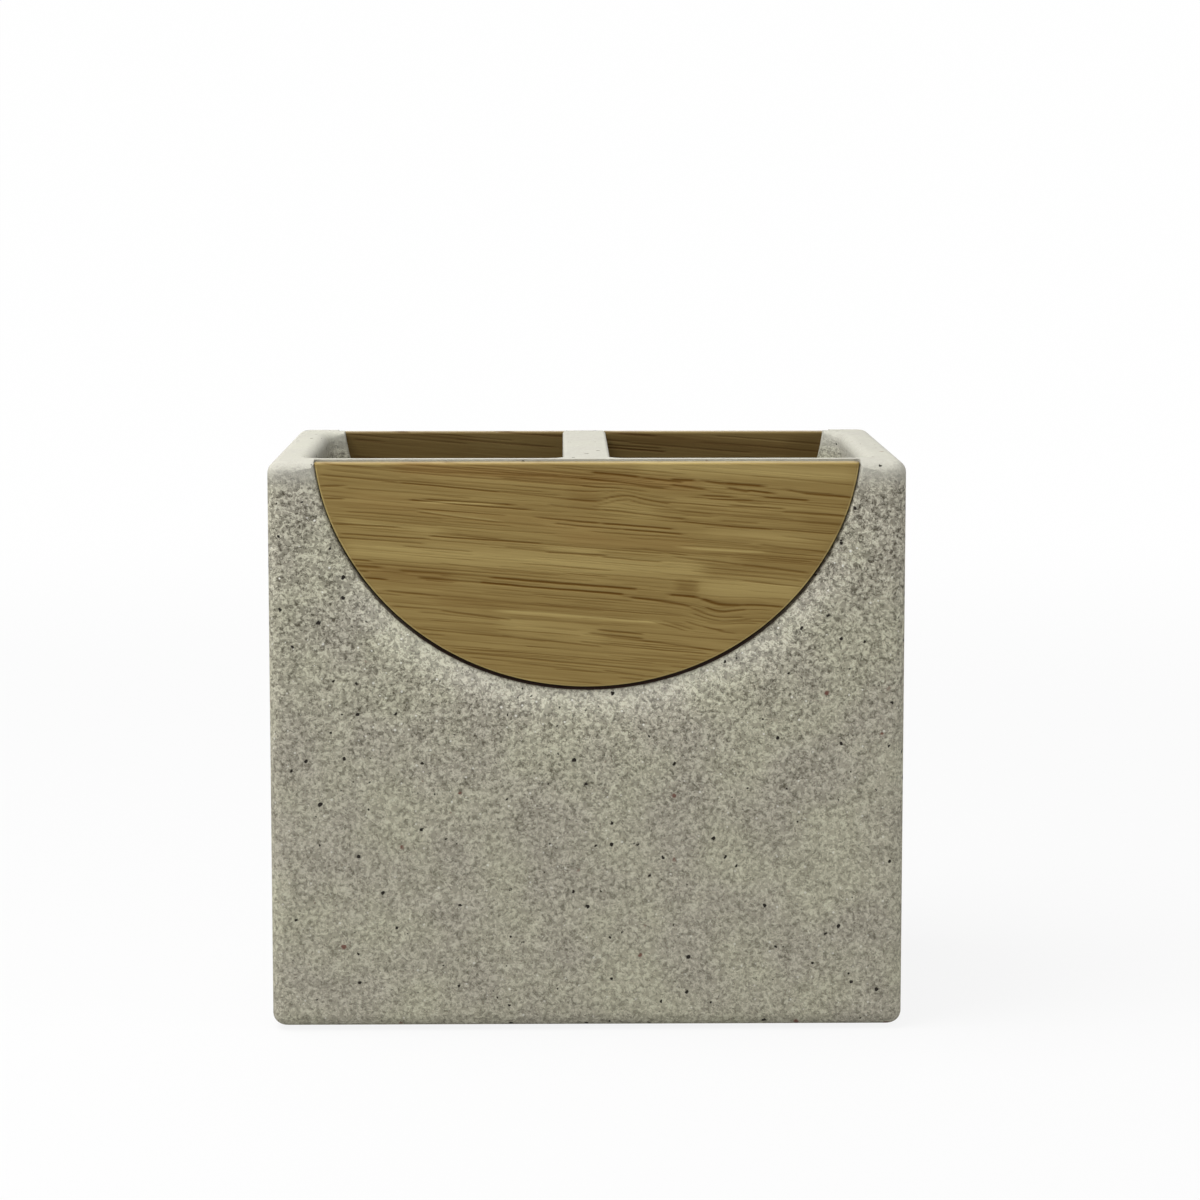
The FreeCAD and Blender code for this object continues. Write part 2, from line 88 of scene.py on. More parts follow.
# Vessel streaks on the front half-disc, as read: start column, start row, end column, end row,
# width in pixels, darkness.
STREAK_READINGS = [
    (322, 465, 440, 474, 2.2, 0.45), (440, 474, 560, 478, 2.2, 0.50),
    (345, 468, 500, 482, 2.0, 0.45), (330, 471, 400, 479, 2.0, 0.35),
    (324, 476, 400, 484, 2.0, 0.60), (400, 484, 500, 493, 2.0, 0.75),
    (500, 492, 600, 504, 2.4, 0.45), (321, 487, 345, 487, 2.6, 0.70),
    (345, 489, 470, 499, 2.2, 0.40), (324, 499, 346, 500, 2.4, 0.70),
    (425, 500, 513, 506, 2.2, 0.80), (410, 501, 530, 511, 2.2, 0.80),
    (345, 508, 420, 512, 1.8, 0.30), (420, 513, 500, 523, 2.2, 0.60),
    (500, 523, 545, 526, 3.0, 0.25), (335, 517, 440, 526, 2.2, 0.40),
    (333, 524, 400, 528, 2.4, 0.75), (342, 534, 430, 539, 2.2, 0.60),
    (335, 537, 425, 544, 2.2, 0.60), (405, 546, 473, 552, 2.0, 0.50),
    (420, 550, 473, 555, 1.8, 0.40), (455, 535, 500, 540, 2.2, 0.50),
    (430, 536, 540, 544, 2.2, 0.80), (350, 559, 372, 561, 2.4, 0.60),
    (355, 565, 382, 567, 3.5, 0.50), (358, 570, 368, 571, 2.4, 0.60),
    (365, 577, 386, 579, 2.4, 0.80), (400, 570, 500, 577, 3.0, 0.50),
    (490, 577, 635, 589, 3.0, 0.95), (420, 577, 500, 584, 2.8, 0.60),
    (480, 582, 622, 594, 2.8, 1.00), (440, 575, 545, 585, 2.0, 0.40),
    (385, 590, 440, 595, 2.2, 0.50), (440, 595, 600, 610, 2.4, 0.25),
    (392, 605, 440, 609, 2.4, 0.50), (440, 609, 510, 619, 2.6, 0.55),
    (510, 617, 600, 624, 2.8, 0.35), (420, 611, 500, 619, 2.0, 0.45),
    (420, 625, 500, 634, 2.2, 0.35), (500, 634, 545, 641, 2.4, 0.45),
    (440, 563, 505, 571, 2.0, 0.35), (500, 474, 580, 480, 2.4, 0.50),
    (580, 480, 620, 485, 2.4, 0.70), (620, 485, 665, 490, 2.4, 0.60),
    (500, 480, 580, 487, 2.4, 0.55), (580, 487, 620, 493, 2.4, 0.75),
    (620, 493, 645, 494, 2.2, 0.50), (590, 474, 640, 479, 3.4, 0.90),
    (640, 479, 682, 484, 3.0, 0.70), (550, 506, 600, 511, 2.2, 0.50),
    (600, 511, 685, 520, 2.4, 0.65), (605, 497, 625, 495, 2.0, 0.50),
    (625, 495, 642, 498, 2.0, 0.50), (600, 503, 630, 500, 2.2, 0.60),
    (630, 500, 668, 505, 2.2, 0.70), (600, 506, 628, 504, 2.0, 0.50),
    (628, 504, 672, 509, 2.0, 0.55), (535, 518, 600, 524, 2.4, 0.75),
    (600, 524, 672, 530, 2.4, 0.80), (555, 524, 620, 530, 2.4, 0.70),
    (620, 530, 682, 535, 2.4, 0.80), (505, 547, 545, 552, 2.2, 0.50),
    (545, 552, 605, 556, 2.6, 0.80), (530, 550, 600, 557, 2.2, 0.60),
    (600, 557, 662, 562, 2.4, 0.80), (520, 563, 612, 571, 2.0, 0.45),
    (525, 567, 582, 571, 1.8, 0.30), (600, 566, 720, 580, 1.8, 0.30),
    (640, 549, 685, 556, 2.0, 0.40), (630, 597, 690, 605, 2.8, 0.75),
    (597, 629, 642, 633, 2.4, 0.70), (588, 632, 642, 638, 2.6, 0.70),
    (662, 620, 692, 628, 2.2, 0.40), (670, 471, 745, 477, 1.8, 0.45),
    (745, 477, 850, 487, 1.8, 0.40), (670, 481, 695, 482, 3.2, 0.90),
    (700, 482, 722, 485, 3.0, 0.80), (722, 485, 762, 488, 3.2, 0.95),
    (670, 486, 705, 491, 2.8, 0.70), (725, 489, 748, 493, 4.0, 0.75),
    (745, 492, 772, 495, 2.8, 0.90), (783, 491, 805, 495, 3.0, 0.70),
    (800, 495, 850, 499, 3.0, 0.85), (700, 497, 732, 499, 2.2, 0.70),
    (705, 500, 752, 502, 2.2, 0.60), (760, 499, 806, 502, 2.8, 0.75),
    (730, 507, 782, 510, 2.4, 0.60), (732, 503, 760, 506, 2.0, 0.50),
    (680, 512, 711, 515, 2.0, 0.60), (680, 516, 711, 518, 2.0, 0.50),
    (780, 513, 850, 518, 2.6, 0.60), (718, 522, 756, 524, 4.0, 0.35),
    (680, 522, 720, 527, 2.4, 0.60), (720, 527, 770, 530, 2.6, 0.85),
    (770, 530, 832, 535, 2.4, 0.60), (780, 537, 832, 543, 2.2, 0.40),
    (758, 545, 826, 553, 2.4, 0.50), (690, 546, 780, 553, 1.8, 0.25),
    (672, 557, 740, 565, 2.4, 0.60), (740, 565, 806, 573, 2.8, 0.60),
    (690, 571, 800, 581, 2.2, 0.45), (680, 575, 740, 580, 1.8, 0.35),
    (740, 580, 800, 587, 2.2, 0.55), (668, 594, 697, 596, 3.0, 0.80),
    (700, 597, 740, 603, 2.8, 0.75), (740, 603, 782, 607, 2.8, 0.70),
    (705, 603, 745, 608, 2.4, 0.70), (690, 606, 742, 615, 2.2, 0.60),
    (692, 611, 722, 616, 2.2, 0.60), (722, 616, 750, 618, 2.2, 0.55),
    (685, 620, 700, 623, 2.4, 0.60), (700, 623, 722, 628, 2.6, 0.60),
    (705, 618, 756, 623, 2.0, 0.50), (716, 628, 734, 632, 2.2, 0.50),
    (417, 627, 600, 645, 2.4, 0.45), (582, 633, 602, 635, 2.2, 0.50),
    (449, 650, 600, 664, 2.4, 0.55), (471, 656, 600, 671, 2.2, 0.40),
    (498, 674, 600, 682, 2.2, 0.40), (587, 633, 713, 649, 2.4, 0.55),
    (580, 641, 706, 653, 2.2, 0.50), (580, 662, 663, 671, 2.4, 0.50),
    (603, 669, 645, 675, 2.2, 0.50), (580, 618, 647, 620, 2.2, 0.35),
    (647, 620, 684, 629, 2.4, 0.50),
]

# Broad bands on the front half-disc, in the same pixels: start column, start row, end column, end
# row, then width in millimetres, lightness, redness.
BAND_READINGS = [
    (397, 468, 695, 487, 1.3, -0.30, 0.80), (345, 548, 700, 570, 2.0, 0.45, -0.50),
    (700, 585, 800, 592, 1.5, 0.40, -0.40), (640, 468, 850, 478, 1.5, 0.40, -0.50),
    (354, 500, 600, 530, 2.2, 0.12, 0.40), (355, 568, 450, 578, 1.6, -0.50, 0.30),
    (740, 560, 825, 565, 1.5, -0.35, 0.10), (800, 520, 850, 528, 1.7, -0.28, 0.00),
    (440, 600, 600, 608, 1.4, -0.18, 0.10), (500, 622, 600, 634, 1.6, 0.32, -0.30),
    (560, 540, 690, 545, 1.6, -0.08, 0.40), (600, 610, 680, 616, 1.1, -0.18, 0.00),
    (500, 610, 660, 622, 0.35, 0.60, 0.00), (425, 512, 500, 522, 0.25, 0.45, 0.00),
    (425, 503, 500, 505, 0.25, 0.70, 0.00), (680, 548, 760, 553, 0.25, 0.70, 0.10),
    (545, 548, 600, 552, 0.45, 0.40, 0.00), (570, 496, 598, 500, 2.3, -0.30, 0.20),
    (676, 586, 695, 587, 1.2, -0.60, 0.00), (600, 509, 655, 513, 1.4, 0.28, -0.30),
    (342, 521, 440, 532, 0.6, 0.35, -0.20), (704, 533, 802, 541, 0.9, 0.22, 0.20),
]

# Where the fibres swerve beside a knot: middle x, middle z, half width, half height, rise.
FRONT_SWERVES = [(26.5, 86.5, 4.8, 3.2, -1.3), (6.5, 111.0, 4.5, 2.2, 0.8)]
REAR_SWERVES = [(-17.0, 93.0, 7.0, 5.0, 2.2), (31.0, 105.0, 5.0, 3.0, -1.2)]

# Lines drawn at random, in millimetres: seed, count, latest start as a share of the half width,
# shortest and longest length, how far above the top edge the highest may lie, and the span of
# each further value: a streak's width and darkness, or a band's width, lightness and redness.
FINE_STREAKS = (31, 240, 0.7, (6, 42), 4, (0.21, 0.36), (0.165, 0.495))
REAR_STREAKS = (11, 110, 0.7, (6, 42), 4, (0.35, 0.60), (0.30, 0.90))
REAR_BANDS = (12, 18, 0.3, (25, 70), 3, (0.8, 2.2), (-0.45, 0.40), (-0.30, 0.80))

# How a line fades at each end, in millimetres. Then a streak's bell and how far below it its
# painted highlight lies, in widths of the streak, and how strong that highlight is.
STREAK_FADE, BAND_FADE = 1.5, 6.0
STREAK_BELL, HIGHLIGHT_BELOW, HIGHLIGHT_SHARE = 0.42, 0.85, 0.5

# The values per point that the bamboo's finish reads.
BAMBOO_VALUES = ("streak", "band", "warmth", "well_shade", "swerve")

# A half-disc's shape: how far below the ellipse's middle its swell begins and over what height
# it grows, in half heights, and the loops round each sanded edge. Then how deep its top edge is,
# in millimetres, and how much painted highlight that gets.
SWELL_FROM, SWELL_OVER = 0.55, 0.25
EDGE_STEPS = 4
TOP_EDGE, TOP_EDGE_HIGHLIGHT = 1.0, 0.2

# A foam pad's grid: steps up its side, points round it, and the rings on its sole and its top,
# as shares of its radius.
PAD_STEPS, PAD_POINTS, PAD_RINGS = 13, 64, (0.35, 0.7)

# The stone's zones, in millimetres: where each begins and where it is full. The first two are
# measured down from the rim, the others out from a half-disc's outline.
# First, the rim's smoother cast skin, paler partly for that skin and partly as a painted
# highlight.
RIM_SKIN_AND_HIGHLIGHT = (7.0, 0.3)
COARSE_TOP = (78, 8)
COARSE_ROUND = (42, 2)
# Next, how far out a painted highlight reaches beyond a half-disc's lower edge.
LIP_HIGHLIGHT = (9, 0.5)
# Then where painted shade lies in the gap round a half-disc: its inner and outer edge.
JOINT_SHADE_INNER, JOINT_SHADE_OUTER = (-0.8, -0.5), (0.55, 0.38)

# How strong the grain is low on the walls, and how much each coarser zone adds.
COARSE_LEAST, COARSE_MORE = 0.77, 0.25

# Where low down begins and is full, in half heights below the ellipse's middle. How much wider
# the painted shade in the gap is there, in millimetres, how dark it still is at the top, and over
# what depth that shade and the painted highlight beside it begin on the outer wall, in
# millimetres.
LOW_DOWN = (0.25, 0.9)
JOINT_SHADE_WIDER, JOINT_SHADE_FAINT, WALL_FADE = 0.35, 0.3, 0.4

# Grains in the stone, in millimetres: their spacing, size and soft edge.
BLACK_SPECKS = (2.6, 0.42, 0.10)
WHITE_GRAINS = (1.45, 0.26, 0.10)
RUST_SPECKS = (6.2, 0.68, 0.30)

# The floor in metres, the steps of its bend, and its share of white near the part and far off,
# with the distances in millimetres between which that changes.
FLOOR_REACH, FLOOR_BEND, BEND_STEPS = 1.6, 0.7, 25
FLOOR_WHITE, FLOOR_FADE = (0.88, 0.995), (150, 900)

# The soft lamps, in metres: name, place, side, the power setting that it takes, and its share.
LAMPS = [
    ("overhead_softbox", (-0.30, -0.14, 0.80), 0.6, "overhead", 1.0),
    ("left_softbox", (-1.0, -0.42, 0.40), 0.7, "sides", 1.0),
    ("right_softbox", (1.0, -0.42, 0.40), 0.7, "sides", 1.3),
    ("front_fill", (-0.1, -1.25, 0.45), 0.8, "front", 1.0),
    ("rear_fill", (0.1, 1.25, 0.45), 0.8, "rear", 1.0),
]
LAMP_AIM = (0, 0, 0.08)
SENSOR_WIDTH = 36


class StoneLooks(bpy.types.PropertyGroup):
    """The cast stone resin"""
    light: FloatVectorProperty(name="Light grain", description="Colour of the pale grain",
                               subtype="COLOR", default=(0.55, 0.53, 0.43))
    dark: FloatVectorProperty(name="Dark grain", description="Colour of the shaded grain",
                              subtype="COLOR", default=(0.060, 0.052, 0.035))
    black: FloatVectorProperty(name="Black specks", description="Colour of the black specks",
                               subtype="COLOR", default=(0.012, 0.009, 0.006))
    rust: FloatVectorProperty(name="Rust specks", description="Colour of the red-brown specks",
                              subtype="COLOR", default=(0.100, 0.034, 0.024))
    # Painted shade in the gap round a half-disc, darker towards the bottom.
    joint_shade: FloatVectorProperty(name="Joint", description="Colour of the joint round a half-disc",
                               subtype="COLOR", default=(0.028, 0.014, 0.010))
    # Partly the smoother skin's own colour, partly a painted highlight on the rim.
    skin: FloatVectorProperty(name="Rim skin", description="Colour of the smooth skin at the rim",
                              subtype="COLOR", default=(0.40, 0.395, 0.36))
    olive: FloatVectorProperty(name="Olive patches", description="Tint of the olive patches",
                               subtype="COLOR", default=(0.99, 1.0, 0.94))
    cool: FloatVectorProperty(name="Cool patches", description="Tint of the cooler patches",
                              subtype="COLOR", default=(1.0, 0.99, 0.985))
    white: FloatVectorProperty(name="White grains", description="Colour of the white grains",
                               subtype="COLOR", default=(0.62, 0.61, 0.55))
    grain: FloatProperty(name="Grain", description="Width of the worm-like grain, in millimetres",
                         default=1.05, min=0.2, max=5)
    relief: FloatProperty(name="Relief", description="Depth of the grain, in millimetres",
                          default=0.16, min=0, max=1)


class BambooLooks(bpy.types.PropertyGroup):
    """The two bamboo half-discs"""
    base: FloatVectorProperty(name="Bamboo", description="Colour between the fibres",
                              subtype="COLOR", default=(0.198, 0.138, 0.046))
    pale: FloatVectorProperty(name="Pale bands", description="Colour of the pale bands",
                              subtype="COLOR", default=(0.310, 0.238, 0.090))
    dark: FloatVectorProperty(name="Vessel streaks", description="Colour of the dark streaks",
                              subtype="COLOR", default=(0.078, 0.036, 0.003))
    warm: FloatVectorProperty(name="Warm bands", description="Colour of the reddish bands",
                              subtype="COLOR", default=(0.205, 0.130, 0.042))
    # Painted shade on the rear half-disc's face inside the wells.
    well_shade: FloatVectorProperty(name="Damp face", description="Tint of the face inside the wells",
                              subtype="COLOR", default=(0.035, 0.018, 0.005))
    half_height: FloatProperty(name="Half height", description="Half the height of the full disc",
                               subtype="DISTANCE", default=0.0522)
    edge_break: FloatProperty(name="Edge break", description="Radius of the sanded edges",
                              subtype="DISTANCE", default=0.0004)
    # A painted highlight on the sanded edge.
    edge_highlight: FloatProperty(name="Pale edge", description="How much paler the sanded edge is",
                             subtype="FACTOR", default=0.6, min=0, max=1)
    swell: FloatProperty(name="Swell", description="How much wider the top of a half-disc is",
                         subtype="DISTANCE", default=0.0002)
    groove: FloatProperty(name="Groove", description="Depth of the strongest streak",
                          subtype="DISTANCE", default=0.00005)
    slope: FloatProperty(name="Grain slope", description="How far the fibres fall to the right",
                         subtype="ANGLE", default=math.radians(4.6))
    rows: IntProperty(name="Rows", description="Rows of the face grid", default=440)
    columns: IntProperty(name="Columns", description="Columns of the face grid", default=96)


class SmallPartLooks(bpy.types.PropertyGroup):
    """The adhesive and the foam pads"""
    adhesive: FloatVectorProperty(name="Adhesive", description="Colour of the cured adhesive",
                                  subtype="COLOR", default=(0.46, 0.40, 0.27))
    foam: FloatVectorProperty(name="Foam", description="Colour of the foam pads",
                              subtype="COLOR", default=(0.055, 0.055, 0.058))
    bulge: FloatProperty(name="Bulge", description="Half of how far a pad's side draws in",
                         subtype="DISTANCE", default=0.00025)


class StageLooks(bpy.types.PropertyGroup):
    """Floor, light and camera"""
    floor: FloatVectorProperty(name="Floor", description="Colour of the floor",
                               subtype="COLOR", default=(0.45, 0.45, 0.45))
    sky: FloatProperty(name="Surround", description="Strength of the white surround", default=0.42)
    overhead: FloatProperty(name="Overhead lamp", description="Power of the overhead softbox",
                            subtype="POWER", unit="POWER", default=11.0)
    sides: FloatProperty(name="Side lamps", description="Power of the softboxes at both sides",
                         subtype="POWER", unit="POWER", default=4.0)
    front: FloatProperty(name="Front lamp", description="Power of the front fill",
                         subtype="POWER", unit="POWER", default=1.5)
    rear: FloatProperty(name="Rear lamp", description="Power of the rear fill",
                        subtype="POWER", unit="POWER", default=2.4)
    camera_place: FloatVectorProperty(name="Camera", description="Where the camera stands",
                                      subtype="TRANSLATION",
                                      default=(-0.00605, -0.680, 0.17745))
    pitch: FloatProperty(name="Pitch", description="How far the camera looks down",
                         subtype="ANGLE", default=math.radians(6.079))
    yaw: FloatProperty(name="Yaw", description="How far the camera looks to the right",
                       subtype="ANGLE", default=math.radians(0.773))
    lens: FloatProperty(name="Lens", description="Focal length in millimetres",
                        unit="CAMERA", default=95.23)
    shift: FloatProperty(name="Shift", description="Vertical lens shift, in frame widths",
                         default=-0.08)


class Shade:
    """One output of a shader node. Arithmetic on it adds Math nodes."""

    def __init__(self, nodes, socket):
        self.nodes = nodes
        self.socket = socket

    def __add__(self, other):
        return self.nodes.maths("ADD", self, other)

    def __sub__(self, other):
        return self.nodes.maths("SUBTRACT", self, other)

    def __rsub__(self, other):
        return self.nodes.maths("SUBTRACT", other, self)

    def __mul__(self, other):
        return self.nodes.maths("MULTIPLY", self, other)

    __radd__ = __add__
    __rmul__ = __mul__

    def __abs__(self):
        return self.nodes.maths("ABSOLUTE", self)

    def output(self, name):
        """Another output of the same node."""
        return Shade(self.nodes, self.socket.node.outputs[name])

    def held(self):
        """The value, held between 0 and 1."""
        return self.nodes.add("Clamp", {}, {"Value": self})

    def rise(self, low, high):
        """0 below low, 1 above high and a smooth rise between, or a fall where low is higher."""
        return self.nodes.add("MapRange", {"interpolation_type": "SMOOTHSTEP"},
                              {"Value": self, "From Min": low, "From Max": high})


class Nodes:
    """The nodes of a finish or of the surround, added one at a time."""

    def __init__(self, tree):
        self.tree = tree

    def add(self, kind, settings, sockets, output=0):
        """A node of that kind: its settings first, then the values or links of its sockets."""
        node = self.tree.nodes.new("ShaderNode" + kind)
        for name, setting in settings.items():
            setattr(node, name, setting)
        for name, value in sockets.items():
            self.put(node.inputs[name], value)
        return Shade(self, node.outputs[output])

    def put(self, socket, value):
        """Links a shade to a socket, or sets the socket to a number or a colour."""
        if isinstance(value, Shade):
            self.tree.links.new(value.socket, socket)
        elif socket.type == "RGBA":
            socket.default_value = (*value, 1)
        else:
            socket.default_value = value

    def maths(self, operation, *values):
        """The result of a Math node on one or two values."""
        return self.add("Math", {"operation": operation}, dict(enumerate(values)))

    def mix(self, share, first, second, way="MIX"):
        """A colour that goes from first to second, or to both blended that way, as share goes
        from 0 to 1."""
        return self.add("Mix", {"data_type": "RGBA", "blend_type": way},
                        {0: share, 6: first, 7: second}, 2)

    def place(self, turn=0.0, stretch=(1, 1, 1), offset=(0, 0, 0), raised=None):
        """Object coordinates in millimetres, raised, turned about y, then stretched and moved."""
        point = self.add("TexCoord", {}, {}, "Object")
        if raised is not None:
            lift = self.add("CombineXYZ", {}, {"Z": raised * MM})
            point = self.add("VectorMath", {"operation": "ADD"}, {0: point, 1: lift})
        turned = self.add("Mapping", {}, {"Vector": point, "Rotation": (0, turn, 0)})
        scale = [share / MM for share in stretch]
        return self.add("Mapping", {}, {"Vector": turned, "Scale": scale, "Location": offset})

    def noise(self, place, per_mm, detail=2.0, roughness=0.5, distortion=0.0):
        """Cloudy noise about 0, with that many cells to the millimetre."""
        cloud = self.add("TexNoise", {}, {"Vector": place, "Scale": per_mm, "Detail": detail,
                                          "Roughness": roughness, "Distortion": distortion})
        return cloud - 0.5

    def specks(self, place, spacing, radius, soft):
        """1 inside round grains scattered about spacing apart, and 0 outside them.

        Each grain has its own random number. Its radius is that number's square plus 0.2, times
        radius, and the value rises over the width soft at its edge.
        """
        near = self.add("TexVoronoi", {}, {"Vector": place, "Scale": 1 / spacing}, "Distance")
        own = self.add("SeparateColor", {}, {0: near.output("Color")})
        edge = (own * own * radius + 0.2 * radius) * (1 / spacing)
        return ((edge - near) * (spacing / soft)).held()

    def strokes(self, offset, grain):
        """1 along short, curling lines and 0 elsewhere: where one noise crosses 0, as 1 less six
        times its distance from 0, and only where another noise lies high."""
        curl = self.noise(self.place(offset=offset), 0.72 / grain, detail=1.0, distortion=1.2)
        short = self.noise(self.place(offset=offset[::-1]), 0.9 / grain)
        return (1 - abs(curl) * 6).held() * short.rise(-0.02, 0.06)


class Finish(Nodes):
    """A material for one finish, with what its shader has all over set on the shader itself."""

    def __init__(self, name, roughness, specular=0.5):
        self.material = bpy.data.materials.new(name)
        self.material.use_nodes = True
        super().__init__(self.material.node_tree)
        self.shader = self.tree.nodes["Principled BSDF"]
        self.feed("Roughness", roughness)
        self.feed("Specular IOR Level", specular)

    def feed(self, name, value):
        """Links a shade to that socket of the shader, or sets the socket."""
        self.put(self.shader.inputs[name], value)

    def bump(self, height):
        """Relief on the shader's normal, from a height in millimetres."""
        bumped = self.add("Bump", {}, {"Strength": 1, "Distance": MM, "Height": height})
        self.feed("Normal", bumped)


def disc_outline(node, half_height):
    """The ellipse that a half-disc is cut from: its half width, and its middle's height.

    The half width is half the top edge, over the root of 1 less the square of the top edge's
    height above the middle over the half height.
    """
    low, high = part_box(node)
    centre = low[2] + half_height
    return high[0] / math.sqrt(1 - ((centre - high[2]) / half_height) ** 2), centre


def dress(piece, finish):
    """Gives every material slot of a piece the same finish."""
    if not piece.material_slots:
        piece.data.materials.append(finish.material)
    for slot in piece.material_slots:
        slot.material = finish.material


def paler(colour, times):
    """A colour made that many times paler, up to white."""
    return tuple(min(1.0, times * part) for part in colour)


def beside_half_disc(axes, half_height):
    """The stone round a half-disc: the distance out from it, painted shade and a painted
    highlight.

    The distance out is the half height times the root of (across / half width) squared plus
    (down / half height) squared, less the half height. The painted shade in the gap is the band of
    it from JOINT_SHADE_INNER to JOINT_SHADE_OUTER, wider and darker towards the bottom, and the
    painted highlight just outside the lower edge fades outwards over LIP_HIGHLIGHT and upwards.
    Both lie on the outer walls only, so they start where the half-disc has its back.
    """
    across, deep, level = (axes.output(axis) for axis in "XYZ")
    half_width, centre = disc_outline("front_inlay", half_height)
    tall = half_height / MM
    sideways = across * (MM / half_width)
    down = (level - centre / MM) * (1 / tall)
    out = axes.nodes.maths("SQRT", sideways * sideways + down * down) * tall - tall

    back = abs(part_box("front_inlay")[1][1]) / MM
    outer_wall = abs(deep).rise(back - WALL_FADE, back)
    low_down = (0 - down).rise(*LOW_DOWN)
    # Painted shade in the gap round the half-disc, wider and darker towards the bottom.
    joint_shade = out.rise(*JOINT_SHADE_INNER) * (out - low_down * JOINT_SHADE_WIDER).rise(*JOINT_SHADE_OUTER)
    joint_shade = joint_shade * outer_wall * (JOINT_SHADE_FAINT + low_down * (1 - JOINT_SHADE_FAINT))
    # A painted highlight just outside the lower edge, strongest at the bottom.
    lip_highlight = out.rise(*LIP_HIGHLIGHT) * outer_wall * low_down * low_down
    return out, joint_shade, lip_highlight


def stone_finish(looks, half_height):
    """Cast stone resin: pale and dark strokes, black and rust specks and white grains, in low
    relief. It is coarser round the half-discs and towards the top, and smoother and paler at the
    rim itself, paler partly for that smoother skin and partly as a painted highlight. Painted
    shade lies in the gap round each half-disc, and a painted highlight just outside its lower
    edge."""
    finish = Finish("stone_resin", 0.85, 0.25)
    place = finish.place()
    axes = finish.add("SeparateXYZ", {}, {0: place})
    out, joint_shade, lip_highlight = beside_half_disc(axes, half_height)
    below_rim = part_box("stone_body")[1][2] / MM - axes.output("Z")
    rim_skin_and_highlight = below_rim.rise(*RIM_SKIN_AND_HIGHLIGHT)
    coarse = below_rim.rise(*COARSE_TOP) + out.rise(*COARSE_ROUND)
    rough = (1 - rim_skin_and_highlight * 0.75) * (COARSE_LEAST + coarse * COARSE_MORE)

    drift = finish.noise(place, 0.07)
    patch = finish.noise(finish.place(offset=(9, 4, 60)), 0.3)
    mottle = finish.noise(place, 0.8 / looks.grain, detail=1.3, roughness=0.55, distortion=0.8)
    stroke = finish.maths("MAXIMUM", finish.strokes((21, 33, 8), looks.grain),
                          finish.strokes((64, 9, 51), looks.grain * 0.8))
    pits = finish.strokes((5, 77, 31), looks.grain * 0.7)
    bent = finish.add("VectorMath", {"operation": "ADD"},
                      {0: place, 1: finish.noise(place, 1.1, detail=1.0) * 0.9})
    black = finish.specks(bent, *BLACK_SPECKS)
    white = finish.specks(finish.place(offset=(3, 70, 20)), *WHITE_GRAINS)
    rust = finish.specks(bent, *RUST_SPECKS)

    # Each number below is the weight of its layer.
    grain = mottle * 0.36 + stroke * 0.36 - pits * 0.26 + patch * 0.30 - 0.06
    # The last term is a painted highlight just outside a half-disc's lower edge.
    share = (0.425 + grain * rough + drift * 0.2 + lip_highlight * (stroke * 0.28 + 0.15)).held()
    colour = finish.mix(share, looks.dark, looks.light)
    tint = finish.mix((0.5 + drift * 4).held(), looks.cool, looks.olive)
    colour = finish.mix(1, colour, tint, "MULTIPLY")
    # The first colour is partly the rim's smoother skin and partly a painted highlight; the last
    # is painted shade in the gap round a half-disc.
    for share, tone in (((rim_skin_and_highlight * 0.55 + lip_highlight * 0.2).held(), looks.skin),
                        (white * (rough * 1.3 - 0.6), looks.white), (rust * 0.9, looks.rust),
                        (black, looks.black), (joint_shade, looks.joint_shade)):
        colour = finish.mix(share, colour, tone)
    finish.feed("Base Color", colour)
    finish.feed("Roughness", 0.85 - white * 0.25)
    height = (mottle + stroke * 0.5 - pits * 0.5) * looks.relief
    finish.bump((height - black * 0.08 + white * 0.05) * rough)
    return finish


def bamboo_finish(looks):
    """Bamboo: fine fibres, dark threads and broad strands along the slope, which are noise drawn
    out along x, with the piece's own streaks, bands, warmth, swerves and painted shade inside the
    wells. The bands also carry a painted highlight on the sanded edge, and the streaks one just
    below each. Light and shade are each a sum of these layers, and mix the pale and the dark
    colour in."""
    finish = Finish("bamboo", 0.48, 0.1)
    streak, band, warm, well_shade, swerve = (
        finish.add("Attribute", {"attribute_name": title}, {}, "Fac") for title in BAMBOO_VALUES)
    turn, raised = -looks.slope, 0 - swerve
    place = finish.place(turn, (0.022, 0.3, 1), raised=raised)
    fibre = finish.noise(place, 2.6, detail=3.0, roughness=0.65)
    place = finish.place(turn, (0.018, 0.3, 1), (50, 0, 9), raised)
    thread = finish.noise(place, 3.4, detail=1.0).rise(0.05, 0.24)
    place = finish.place(turn, (0.018, 0.2, 1), raised=raised)
    strand = finish.noise(place, 0.9, roughness=0.6)
    cloud = finish.noise(finish.place(turn, (0.25, 0.4, 1)), 0.12, detail=1.0)

    # Each number below is the weight of its layer.
    colour = finish.mix((warm + cloud * 0.6).held(), looks.base, looks.warm)
    light = (band * 1.2 + strand * 0.7 + fibre * 0.7 + cloud * 0.5 + 0.03).held()
    colour = finish.mix(light, colour, looks.pale)
    shade = (streak * 1.15 + thread * 0.3 - fibre * 0.55 - band * 0.6 - strand * 0.5 + 0.05).held()
    colour = finish.mix(shade, colour, looks.dark)
    # Painted shade on the rear half-disc's face inside the wells.
    finish.feed("Base Color", finish.mix(well_shade * 0.6, colour, looks.well_shade))
    finish.feed("Roughness", 0.48 + shade * 0.2)
    finish.bump(fibre * 0.02 - streak * 0.03)
    return finish


def adhesive_finish(looks):
    """Cured adhesive: cloudy, faintly yellow and a little glossy."""
    finish = Finish("cured_adhesive", 0.32)
    cloud = finish.noise(finish.place(), 0.6)
    cloudy = (0.5 + cloud * 2).held()
    finish.feed("Base Color", finish.mix(cloudy, looks.adhesive, paler(looks.adhesive, 1.25)))
    finish.bump(cloud * 0.1)
    return finish


